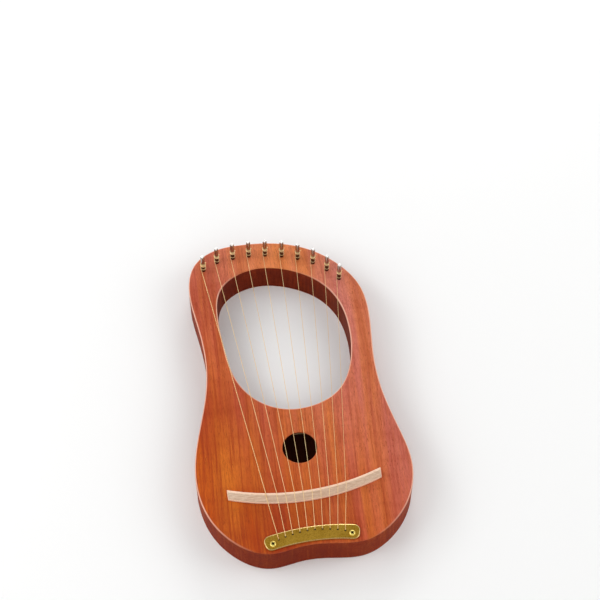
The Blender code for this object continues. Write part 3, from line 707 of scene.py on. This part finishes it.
def wire(name, points, diameter):
    """A round wire through the points, as a mesh with its length along the first UV axis."""
    curve = bpy.data.curves.new(name, "CURVE")
    curve.dimensions = "3D"
    curve.bevel_depth = diameter / 2
    curve.bevel_resolution = 3
    curve.resolution_u = 4
    curve.use_fill_caps = True
    add_spline(curve, points)
    item = add_object(name, curve)
    only(item)
    bpy.ops.object.convert(target="MESH")
    bpy.ops.object.shade_smooth_by_angle(angle=math.radians(50))
    return item


def make_string(number):
    """Up through the tailpiece, over the bridge and round the pin."""
    diameter = string_diameter(number)
    low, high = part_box(f"ball_end_{number}")
    hole = ((low + high) / 2).xy
    pitch = diameter + TURN_GAP
    crest = crest_height(notch(number)) - NOTCH_DEPTH + STRING_SEAT + diameter / 2
    front = bridge_point(notch(number), CREST_INSET)
    rear = bridge_point(notch(number), BRIDGE_CREST + CREST_INSET)
    ahead = (rear - hole).normalized()
    clear = PLATE_TOP + STRING_SEAT + diameter / 2
    points = [(*hole, PLATE_BOTTOM)]
    for distance, height in (
        (0.0004, PLATE_TOP - 0.0008),
        (0.0005, PLATE_TOP - 0.0001),
        (0.0008, clear + 0.00015),
        (BEND_LENGTH, clear + BEND_RISE),
    ):
        points.append((*(hole + ahead * distance), height))
    run = (rear - hole).length
    for distance in (0.004, run / 2, run - 0.004):
        share = (distance - BEND_LENGTH) / (run - BEND_LENGTH)
        height = clear + BEND_RISE + (crest - clear - BEND_RISE) * share
        points.append((*(hole + ahead * distance), height))
    points += [(*rear, crest - REAR_DIP), (*((front + rear) / 2), crest), (*front, crest)]
    touch = Vector(around(number, 0, STRING_LEAVES))
    start = Vector((*front, crest))
    for share in (0.02, 0.1, 0.5, 0.9, 0.985):
        points.append(start.lerp(touch, share))
    steps = round(STRING_WRAP_TURNS * POINTS_PER_TURN)
    for step in range(steps + 1):
        turns = STRING_WRAP_TURNS * step / steps
        points.append(around(number, turns, STRING_LEAVES + pitch * turns))
    item = wire(f"string_wire_{number}", points, diameter)
    dress(item, *string_look(number), "harp", f"string_{number}")


def make_turns(number):
    """The turns that ride on the pin.

    They go up from the string's own turns to a close group, and then in through the eye.
    """
    diameter = string_diameter(number)
    pitch = diameter + TURN_GAP
    level_turn = 0.04
    rising_turn = 0.40
    last_turn = 0.5
    start = STRING_WRAP_TURNS + TURNS_PARTED
    height = STRING_LEAVES + pitch * STRING_WRAP_TURNS + pitch
    to_left_side = (first_touch(number) - math.pi) / (2 * math.pi)
    end = math.ceil(start + WINDING_TURNS) + to_left_side
    rising_start = start + level_turn
    rising_end = start + level_turn + rising_turn
    lower_top = height + pitch * level_turn
    upper_top = PIN_EYE_HEIGHT - pitch
    upper_bottom = upper_top - pitch * (end - last_turn - rising_end)
    steps = round((end - start) * POINTS_PER_TURN)
    points = []
    for step in range(steps + 1):
        turns = start + (end - start) * step / steps
        level = np.interp(
            turns,
            (start, rising_start, rising_end, end - last_turn, end),
            (height, lower_top, upper_bottom, upper_top, PIN_EYE_HEIGHT),
        )
        points.append(around(number, turns, float(level)))
    place = pin_place(number)
    eye = FRONT_FACE + PIN_EYE_HEIGHT
    points[-1] = (place.x - wrap_radius(number) + 0.0001, place.y + 0.0004, eye)
    points.append((place.x - PIN_DIAMETER / 2 + 0.0003, place.y, eye))
    points.append((place.x, place.y, eye))
    points.append((place.x + PIN_DIAMETER / 2 + CUT_END, place.y, eye))
    item = wire(f"pin_turns_{number}", points, diameter)
    dress(item, *string_look(number), f"pin_{number}", f"winding_{number}")


# Materials

# Ridges, in radians per metre along a pin and along a string, and how fast the thread fades
THREAD_WAVE = 12000.0
WINDING_WAVE = 9000.0
THREAD_FADE = 400.0


def shade(red, green, blue):
    """A colour as it reads on a screen, from 0 to 255, in Blender's linear values."""
    linear = []
    for value in (red, green, blue):
        share = value / 255
        linear.append(share / 12.92 if share <= 0.04045 else ((share + 0.055) / 1.055) ** 2.4)
    return (*linear, 1)


class Recipe:
    """Short calls that lay out a material's nodes."""

    def __init__(self, name):
        self.material = bpy.data.materials.new(name)
        self.material.use_nodes = True
        self.tree = self.material.node_tree
        self.shader = self.tree.nodes["Principled BSDF"]
        self.column = -1800
        self.coordinates = self.node("ShaderNodeTexCoord").outputs["Object"]

    def node(self, kind, **settings):
        made = self.tree.nodes.new(kind)
        for key, value in settings.items():
            setattr(made, key, value)
        made.location = (self.column, 0)
        self.column += 60
        return made

    def link(self, output, socket):
        self.tree.links.new(output, socket)

    def place(self, scale=(1, 1, 1), turn=0.0):
        """Object coordinates, stretched by a scale and turned about Z."""
        mapping = self.node("ShaderNodeMapping")
        mapping.inputs["Scale"].default_value = scale
        mapping.inputs["Rotation"].default_value = (0, 0, turn)
        self.link(self.coordinates, mapping.inputs["Vector"])
        return mapping.outputs["Vector"]

    def drift_by(self, offset):
        """Bends every pattern laid out after this by a small offset."""
        bent = self.node("ShaderNodeVectorMath", operation="ADD")
        self.link(self.coordinates, bent.inputs[0])
        self.link(offset, bent.inputs[1])
        self.coordinates = bent.outputs[0]

    def patch(self, middle, reach):
        """A soft round patch in plan: 1 in its middle, 0 at its edge."""
        mapping = self.node("ShaderNodeMapping")
        mapping.inputs["Scale"].default_value = (1 / reach, 1 / reach, 0)
        mapping.inputs["Location"].default_value = (-middle[0] / reach, -middle[1] / reach, 0)
        self.link(self.coordinates, mapping.inputs["Vector"])
        made = self.node("ShaderNodeTexGradient", gradient_type="SPHERICAL")
        self.link(mapping.outputs["Vector"], made.inputs["Vector"])
        return made.outputs["Fac"]

    def noise(self, vector, detail, rough=0.5, warp=0.0):
        made = self.node("ShaderNodeTexNoise")
        made.inputs["Scale"].default_value = 1.0
        made.inputs["Detail"].default_value = detail
        made.inputs["Roughness"].default_value = rough
        made.inputs["Distortion"].default_value = warp
        self.link(vector, made.inputs["Vector"])
        return made.outputs["Fac"]

    def ramp(self, factor, *stops):
        """A colour ramp; each stop is a place from 0 to 1 and a colour or a grey."""
        made = self.node("ShaderNodeValToRGB")
        band = made.color_ramp
        while len(band.elements) < len(stops):
            band.elements.new(0.5)
        for element, (place, colour) in zip(band.elements, stops):
            element.position = place
            element.color = colour if isinstance(colour, tuple) else (colour, colour, colour, 1)
        self.link(factor, made.inputs["Fac"])
        return made.outputs["Color"]

    def mix(self, factor, first, second):
        """The first colour turns into the second as the factor goes from 0 to 1."""
        made = self.node("ShaderNodeMix", data_type="RGBA")
        for value, socket in ((factor, 0), (first, 6), (second, 7)):
            if isinstance(value, bpy.types.NodeSocket):
                self.link(value, made.inputs[socket])
            else:
                made.inputs[socket].default_value = value
        return made.outputs[2]

    def math(self, operation, first, second=0.0, clamp=False):
        made = self.node("ShaderNodeMath", operation=operation, use_clamp=clamp)
        for place, value in enumerate((first, second)):
            if isinstance(value, bpy.types.NodeSocket):
                self.link(value, made.inputs[place])
            else:
                made.inputs[place].default_value = value
        return made.outputs[0]

    def bump(self, height, distance, strength, under=None):
        made = self.node("ShaderNodeBump")
        made.inputs["Distance"].default_value = distance
        made.inputs["Strength"].default_value = strength
        self.link(height, made.inputs["Height"])
        if under:
            self.link(under, made.inputs["Normal"])
        return made.outputs["Normal"]

    def finish(self, colour, roughness, normal=None, **values):
        """Joins the pattern to the shader; its other settings are given by name."""
        for key, value in values.items():
            self.shader.inputs[key.replace("_", " ")].default_value = value
        for value, socket in ((colour, "Base Color"), (roughness, "Roughness"), (normal, "Normal")):
            if isinstance(value, bpy.types.NodeSocket):
                self.link(value, self.shader.inputs[socket])
            elif value is not None:
                self.shader.inputs[socket].default_value = value
        return self.material


def mahogany(name, orange, pink_sheen, gold, light, deep, pore, gloss, upright=False):
    """Lacquered mahogany, its grain along the body: broad bands, streaks and fine open pores.

    The board runs from orange on the bass side of the tail to pink on the treble arm; the pink is a
    painted sheen. Upright is for the walls, where the cutter left faint marks from front to back.
    """
    wood = Recipe(name)
    sway = wood.node("ShaderNodeVectorMath", operation="SCALE")
    wood.link(wood.noise(wood.place((5, 3, 5)), detail=1), sway.inputs[0])
    sway.inputs["Scale"].default_value = 0.02
    wood.drift_by(sway.outputs[0])
    broad = wood.noise(wood.place((26, 1.1, 26)), detail=3, rough=0.55)
    bands = wood.noise(wood.place((84, 2.6, 84)), detail=3, rough=0.6)
    streaks = wood.noise(wood.place((380, 9, 380)), detail=4, rough=0.6)
    pores = wood.noise(wood.place((2100, 170, 2100)), detail=2, rough=0.6)
    crowd = wood.noise(wood.place((60, 20, 60)), detail=2)
    fibres = wood.noise(wood.place((4200, 70, 4200)), detail=2)
    ripple = wood.noise(wood.place((26, 75, 26), 0.25), detail=2)
    across = wood.node("ShaderNodeVectorMath", operation="DOT_PRODUCT")
    wood.link(wood.coordinates, across.inputs[0])
    across.inputs[1].default_value = (3.0, 1.9, 0)
    # Share of the pink painted sheen, growing towards the treble arm; dark streaks fade where it is
    # strong
    side = wood.math("ADD", across.outputs["Value"], 0.25)
    side = wood.math("ADD", side, wood.math("MULTIPLY", broad, 0.4), clamp=True)
    calm = wood.math("SUBTRACT", 1.0, wood.math("MULTIPLY", side, 0.6))
    base = wood.mix(side, orange, pink_sheen)
    golden = wood.noise(wood.place((44, 1.5, 44)), detail=2)
    base = wood.mix(wood.ramp(golden, (0.46, 0.0), (0.64, 0.55)), base, gold)
    for middle, reach, amount, tone in (
        ((0.01, 0.2), 0.09, 0.9, light),
        ((0.03, -0.04), 0.06, 0.3, light),
        ((-0.1, 0.14), 0.07, 0.4, deep),
        ((-0.1, -0.02), 0.07, 0.5, deep),
        ((-0.02, -0.2), 0.11, 0.6, deep),
        ((-0.08, -0.1), 0.08, 0.5, gold),
    ):
        base = wood.mix(wood.math("MULTIPLY", wood.patch(middle, reach), amount), base, tone)
    base = wood.mix(wood.ramp(broad, (0.46, 0.0), (0.64, 0.25)), base, deep)
    base = wood.mix(wood.ramp(bands, (0.45, 0.0), (0.70, 0.45)), base, deep)
    dark_streaks = wood.math("MULTIPLY", wood.ramp(streaks, (0.47, 0.0), (0.66, 0.65)), calm)
    base = wood.mix(dark_streaks, base, deep)
    base = wood.mix(wood.ramp(streaks, (0.26, 0.25), (0.46, 0.0)), base, gold)
    base = wood.mix(wood.ramp(ripple, (0.45, 0.0), (0.75, 0.25)), base, deep)
    base = wood.mix(wood.ramp(fibres, (0.40, 0.0), (0.70, 0.35)), base, pore)
    if upright:
        marks = wood.noise(wood.place((330, 330, 14)), detail=4, rough=0.6)
        base = wood.mix(wood.ramp(marks, (0.42, 0.0), (0.68, 0.6)), base, deep)
        base = wood.mix(wood.ramp(marks, (0.25, 0.4), (0.42, 0.0)), base, gold)
    deepness = wood.math("MULTIPLY", wood.ramp(pores, (0.57, 0.0), (0.68, 1.2)), crowd)
    base = wood.mix(deepness, base, pore)
    # Painted highlight on the rounded edges, as strong as their edge mark
    highlight_mark = wood.node("ShaderNodeAttribute", attribute_name="painted_edge_highlight").outputs["Fac"]
    base = wood.mix(wood.math("MULTIPLY", highlight_mark, 0.8), base, shade(250, 196, 170))
    rough = wood.ramp(streaks, (0.3, 0.34), (0.7, 0.44))
    dents = wood.math("SUBTRACT", 1.0, deepness)
    normal = wood.bump(dents, 0.00008, 0.6)
    normal = wood.bump(fibres, 0.00001, 0.5, under=normal)
    return wood.finish(
        base,
        0.6 if upright else rough,
        normal,
        Specular_IOR_Level=gloss,
        Coat_Weight=0.0 if upright else gloss,
        Coat_Roughness=0.15,
    )


def raw_mahogany_painted_shade():
    """Unlacquered wood inside the body, painted dark as shade."""
    wood = Recipe("raw_mahogany_painted_shade")
    streaks = wood.noise(wood.place((300, 9, 300)), detail=4, rough=0.6)
    base = wood.ramp(streaks, (0.35, shade(84, 34, 18)), (0.65, shade(58, 20, 10)))
    return wood.finish(base, 0.85, wood.bump(streaks, 0.0001, 0.5), Specular_IOR_Level=0.1)


def maple(name, light, dark):
    """Pale sanded maple, straight-grained along the bridge."""
    wood = Recipe(name)
    lines = wood.noise(wood.place((14, 700, 700), 0.04), detail=4, rough=0.7, warp=0.2)
    flecks = wood.noise(wood.place((260, 2600, 2600)), detail=2)
    cloud = wood.noise(wood.place((60, 90, 90)), detail=2)
    base = wood.ramp(lines, (0.34, light), (0.66, dark))
    base = wood.mix(wood.ramp(cloud, (0.4, 0.0), (0.7, 0.3)), base, dark)
    base = wood.mix(wood.ramp(flecks, (0.54, 0.0), (0.68, 0.45)), base, shade(176, 138, 112))
    normal = wood.bump(lines, 0.00004, 0.4)
    return wood.finish(base, 0.5, normal)


def spruce():
    wood = Recipe("spruce")
    rings = wood.noise(wood.place((6, 500, 500)), detail=3, rough=0.5)
    base = wood.ramp(rings, (0.35, shade(222, 186, 138)), (0.65, shade(188, 146, 98)))
    return wood.finish(base, 0.7, wood.bump(rings, 0.00005, 0.4))


def brushed_brass():
    """Satin brass, brushed along the tailpiece, a little darker where it has aged."""
    metal = Recipe("satin_brass")
    brush = metal.noise(metal.place((700, 1500, 1500), 0.03), detail=3, rough=0.6)
    age = metal.noise(metal.place((60, 60, 60)), detail=3)
    base = metal.ramp(age, (0.35, shade(216, 172, 64)), (0.7, shade(192, 148, 46)))
    base = metal.mix(metal.ramp(brush, (0.48, 0.0), (0.66, 0.7)), base, shade(150, 104, 24))
    base = metal.mix(metal.ramp(brush, (0.34, 0.5), (0.46, 0.0)), base, shade(232, 190, 80))
    rough = metal.ramp(brush, (0.3, 0.34), (0.7, 0.48))
    return metal.finish(base, rough, metal.bump(brush, 0.00003, 0.5), Metallic=1.0)


def bright_brass(name, light, dark):
    metal = Recipe(name)
    wear = metal.noise(metal.place((700, 700, 700)), detail=3)
    base = metal.ramp(wear, (0.35, light), (0.7, dark))
    return metal.finish(base, metal.ramp(wear, (0.3, 0.24), (0.7, 0.36)), Metallic=0.85)


def brass_painted_shade():
    """The string holes and the screws' recesses: dull dark brass, as painted shade."""
    metal = Recipe("brass_painted_shade")
    turned = metal.noise(metal.place((300, 300, 5000)), detail=2)
    base = metal.ramp(turned, (0.35, shade(72, 54, 24)), (0.7, shade(44, 32, 14)))
    return metal.finish(base, 0.7, metal.bump(turned, 0.00002, 0.5), Specular_IOR_Level=0.2)


def nickel():
    """Plated pins: bright, with faint turning marks and a fine thread below the strings, where the
    shank is darker: the thread's duller look and painted shade under the turns.
    """
    metal = Recipe("nickel")
    marks = metal.noise(metal.place((200, 200, 9000)), detail=2)
    cloud = metal.noise(metal.place((500, 500, 300)), detail=3)
    base = metal.ramp(cloud, (0.35, shade(190, 182, 172)), (0.7, shade(158, 148, 138)))
    apart = metal.node("ShaderNodeSeparateXYZ")
    metal.link(metal.place(), apart.inputs["Vector"])
    over_thread = metal.math("SUBTRACT", apart.outputs["Z"], FRONT_FACE + PIN_THREAD_TOP)
    above = metal.math("MULTIPLY", over_thread, THREAD_FADE, clamp=True)
    # Below the thread's top the shank turns dark: the thread's duller look and painted shade under
    # the turns
    base = metal.mix(above, shade(92, 78, 68), base)
    thread = metal.math("SINE", metal.math("MULTIPLY", apart.outputs["Z"], THREAD_WAVE))
    thread = metal.math("MULTIPLY", thread, metal.math("SUBTRACT", 1.0, above))
    rough = metal.ramp(marks, (0.3, 0.12), (0.7, 0.24))
    normal = metal.bump(marks, 0.00001, 0.5)
    return metal.finish(base, rough, metal.bump(thread, 0.00003, 0.3, under=normal), Metallic=1.0)


def nickel_painted_highlight():
    """The pins' crowns, near-white: a painted highlight."""
    metal = Recipe("nickel_painted_highlight")
    cloud = metal.noise(metal.place((900, 900, 900)), detail=3)
    base = metal.ramp(cloud, (0.35, shade(250, 249, 247)), (0.7, shade(236, 233, 229)))
    rough = metal.ramp(cloud, (0.3, 0.22), (0.7, 0.32))
    return metal.finish(base, rough, metal.bump(cloud, 0.00001, 0.4), Metallic=0.85)


def plain_string():
    """Drawn wire; its warm cream colour is a painted reflection of the wood under it."""
    metal = Recipe("string_steel")
    drawn = metal.noise(metal.place((3000, 60, 3000)), detail=2)
    base = metal.ramp(drawn, (0.3, shade(255, 230, 174)), (0.7, shade(246, 210, 150)))
    return metal.finish(base, metal.ramp(drawn, (0.3, 0.3), (0.7, 0.42)), Metallic=0.6)


def wound_string():
    """Fine wire wound round a core: the ridges follow the string by its UV map."""
    metal = Recipe("wound_brass")
    uv = metal.node("ShaderNodeUVMap").outputs["UV"]
    apart = metal.node("ShaderNodeSeparateXYZ")
    metal.link(uv, apart.inputs["Vector"])
    ridges = metal.math("SINE", metal.math("MULTIPLY", apart.outputs["X"], WINDING_WAVE))
    height = metal.math("ADD", metal.math("MULTIPLY", ridges, 0.5), 0.5)
    # Darker in the grooves between the windings, lighter on their tops: painted shade and highlight
    base = metal.ramp(height, (0.0, shade(226, 176, 110)), (1.0, shade(255, 230, 172)))
    return metal.finish(base, 0.36, metal.bump(ridges, 0.00005, 0.6), Metallic=0.7)


MAHOGANY = mahogany(
    "mahogany",
    orange=shade(205, 84, 18),
    pink_sheen=shade(219, 132, 118),
    gold=shade(226, 128, 42),
    light=shade(250, 152, 84),
    deep=shade(156, 50, 19),
    pore=shade(124, 46, 20),
    gloss=0.11,
)
# The outer walls: darker than the front, partly their own tone and partly painted shade
MAHOGANY_SIDES = mahogany(
    "mahogany_sides",
    orange=shade(172, 62, 18),
    pink_sheen=shade(178, 72, 28),
    gold=shade(194, 92, 38),
    light=shade(190, 86, 40),
    deep=shade(122, 34, 12),
    pore=shade(82, 22, 8),
    gloss=0.08,
    upright=True,
)
# The hand opening's walls: a darker copy of the wall wood, as painted shade
MAHOGANY_OPENING_SHADE = mahogany(
    "mahogany_opening_painted_shade",
    orange=shade(134, 40, 12),
    pink_sheen=shade(140, 48, 18),
    gold=shade(164, 68, 26),
    light=shade(148, 52, 20),
    deep=shade(92, 22, 8),
    pore=shade(64, 16, 6),
    gloss=0.08,
    upright=True,
)
# Inside the chamber: raw wood painted dark, as shade
RAW_WOOD_PAINTED_SHADE = raw_mahogany_painted_shade()
MAPLE = maple("maple", shade(232, 206, 180), shade(204, 168, 138))
# Paler maple: a painted highlight on all the bridge's faces but its slope
MAPLE_HIGHLIGHT = maple("maple_painted_highlight", shade(255, 224, 198), shade(248, 208, 178))
SPRUCE = spruce()
BRASS = brushed_brass()
BRIGHT_BRASS = bright_brass("bright_brass", shade(255, 238, 140), shade(244, 216, 108))
# Paler brass for the tailpiece's chamfer: a painted highlight
BRASS_HIGHLIGHT = bright_brass("brass_painted_highlight", shade(236, 208, 142), shade(214, 176, 96))
# Dark brass for holes and recesses: painted shade
BRASS_SHADE = brass_painted_shade()
NICKEL = nickel()
# Near-white nickel for the crowns: a painted highlight
NICKEL_HIGHLIGHT = nickel_painted_highlight()
PLAIN_STRING = plain_string()
WOUND_STRING = wound_string()


def paint_kept_nodes():
    """The CAD's own braces and ball ends stay, with their finished materials."""
    finishes = {"upper_brace": SPRUCE, "bridge_brace": SPRUCE, "back_brace": SPRUCE}
    for number in STRINGS:
        finishes[f"ball_end_{number}"] = BRIGHT_BRASS
    for node, finish in finishes.items():
        for slot in frame["nodes"][node].material_slots:
            slot.material = finish


# Studio

def make_floor():
    """White paper; it throws back less light than it shows, so the harp's walls stay deep.

    Far from the harp, past the lamps' reach, it glows a little so that it stays white in view.
    """
    bpy.ops.mesh.primitive_plane_add(size=6, location=(0, 0, -0.0002))
    floor = start_piece("studio_floor")
    paper = Recipe("studio_paper")
    rays = paper.node("ShaderNodeLightPath").outputs
    seen = paper.math("MAXIMUM", rays["Is Camera Ray"], rays["Is Glossy Ray"])
    seen = paper.math("MAXIMUM", seen, rays["Is Transmission Ray"])
    thrown_back, shown = (0.42, 0.42, 0.42, 1), (0.97, 0.97, 0.965, 1)
    tone = paper.mix(seen, thrown_back, shown)
    far = paper.ramp(paper.patch((0, 0), 3.0), (0.4, 1.0), (0.75, 0.0))
    glow = paper.math("MULTIPLY", paper.math("MULTIPLY", far, seen), 0.75)
    paper.link(glow, paper.shader.inputs["Emission Strength"])
    paper.finish(tone, 0.95, Specular_IOR_Level=0.0)
    floor.data.materials.append(paper.material)


def make_world():
    """A grey-white room, brightest at its walls and darker overhead."""
    world = bpy.data.worlds.new("studio")
    bpy.context.scene.world = world
    world.use_nodes = True
    tree = world.node_tree
    background = tree.nodes["Background"]
    coordinates = tree.nodes.new("ShaderNodeTexCoord")
    apart = tree.nodes.new("ShaderNodeSeparateXYZ")
    ramp = tree.nodes.new("ShaderNodeValToRGB")
    for element, (place, grey) in zip(ramp.color_ramp.elements, ((0.1, 0.95), (0.75, 0.34))):
        element.position = place
        element.color = (grey, grey, grey, 1)
    tree.links.new(coordinates.outputs["Generated"], apart.inputs["Vector"])
    tree.links.new(apart.outputs["Z"], ramp.inputs["Fac"])
    tree.links.new(ramp.outputs["Color"], background.inputs["Color"])


def make_lamp(name, place, size, energy):
    """A round soft lamp that faces the harp."""
    lamp = bpy.data.lights.new(name, "AREA")
    lamp.shape = "DISK"
    lamp.size = size
    lamp.energy = energy
    item = add_object(name, lamp)
    item.location = place
    item.rotation_euler = (-Vector(place)).to_track_quat("-Z", "Y").to_euler()


def make_camera():
    """From the tail and a little to the bass side, 56 degrees up, through a long lens."""
    camera = bpy.data.cameras.new("camera")
    camera.lens = 90
    camera.clip_start = 0.05
    item = add_object("camera", camera)
    item.location = (-0.1033, -0.9160, 1.5907)
    item.rotation_euler = (math.radians(34), 0, math.radians(-7))
    bpy.context.scene.camera = item


make_front()
make_frame()
make_back()
make_bridge()
make_tailpiece()
make_screw("left")
make_screw("right")
make_pins()
for number in STRINGS:
    make_string(number)
    make_turns(number)
paint_kept_nodes()
make_floor()
make_world()
make_lamp("left_lamp", (-1.25, -0.15, 1.2), 1.3, 8.6)
make_lamp("right_lamp", (1.3, -0.2, 1.15), 1.3, 7.2)
make_lamp("front_lamp", (-0.2, -1.5, 1.4), 1.3, 5)
make_lamp("rim_lamp", (0.35, 1.5, 0.62), 0.9, 8)
make_lamp("string_lamp", (-1.26, 0.75, 1.04), 0.45, 3)
make_camera()
bpy.context.scene.view_settings.view_transform = "Standard"
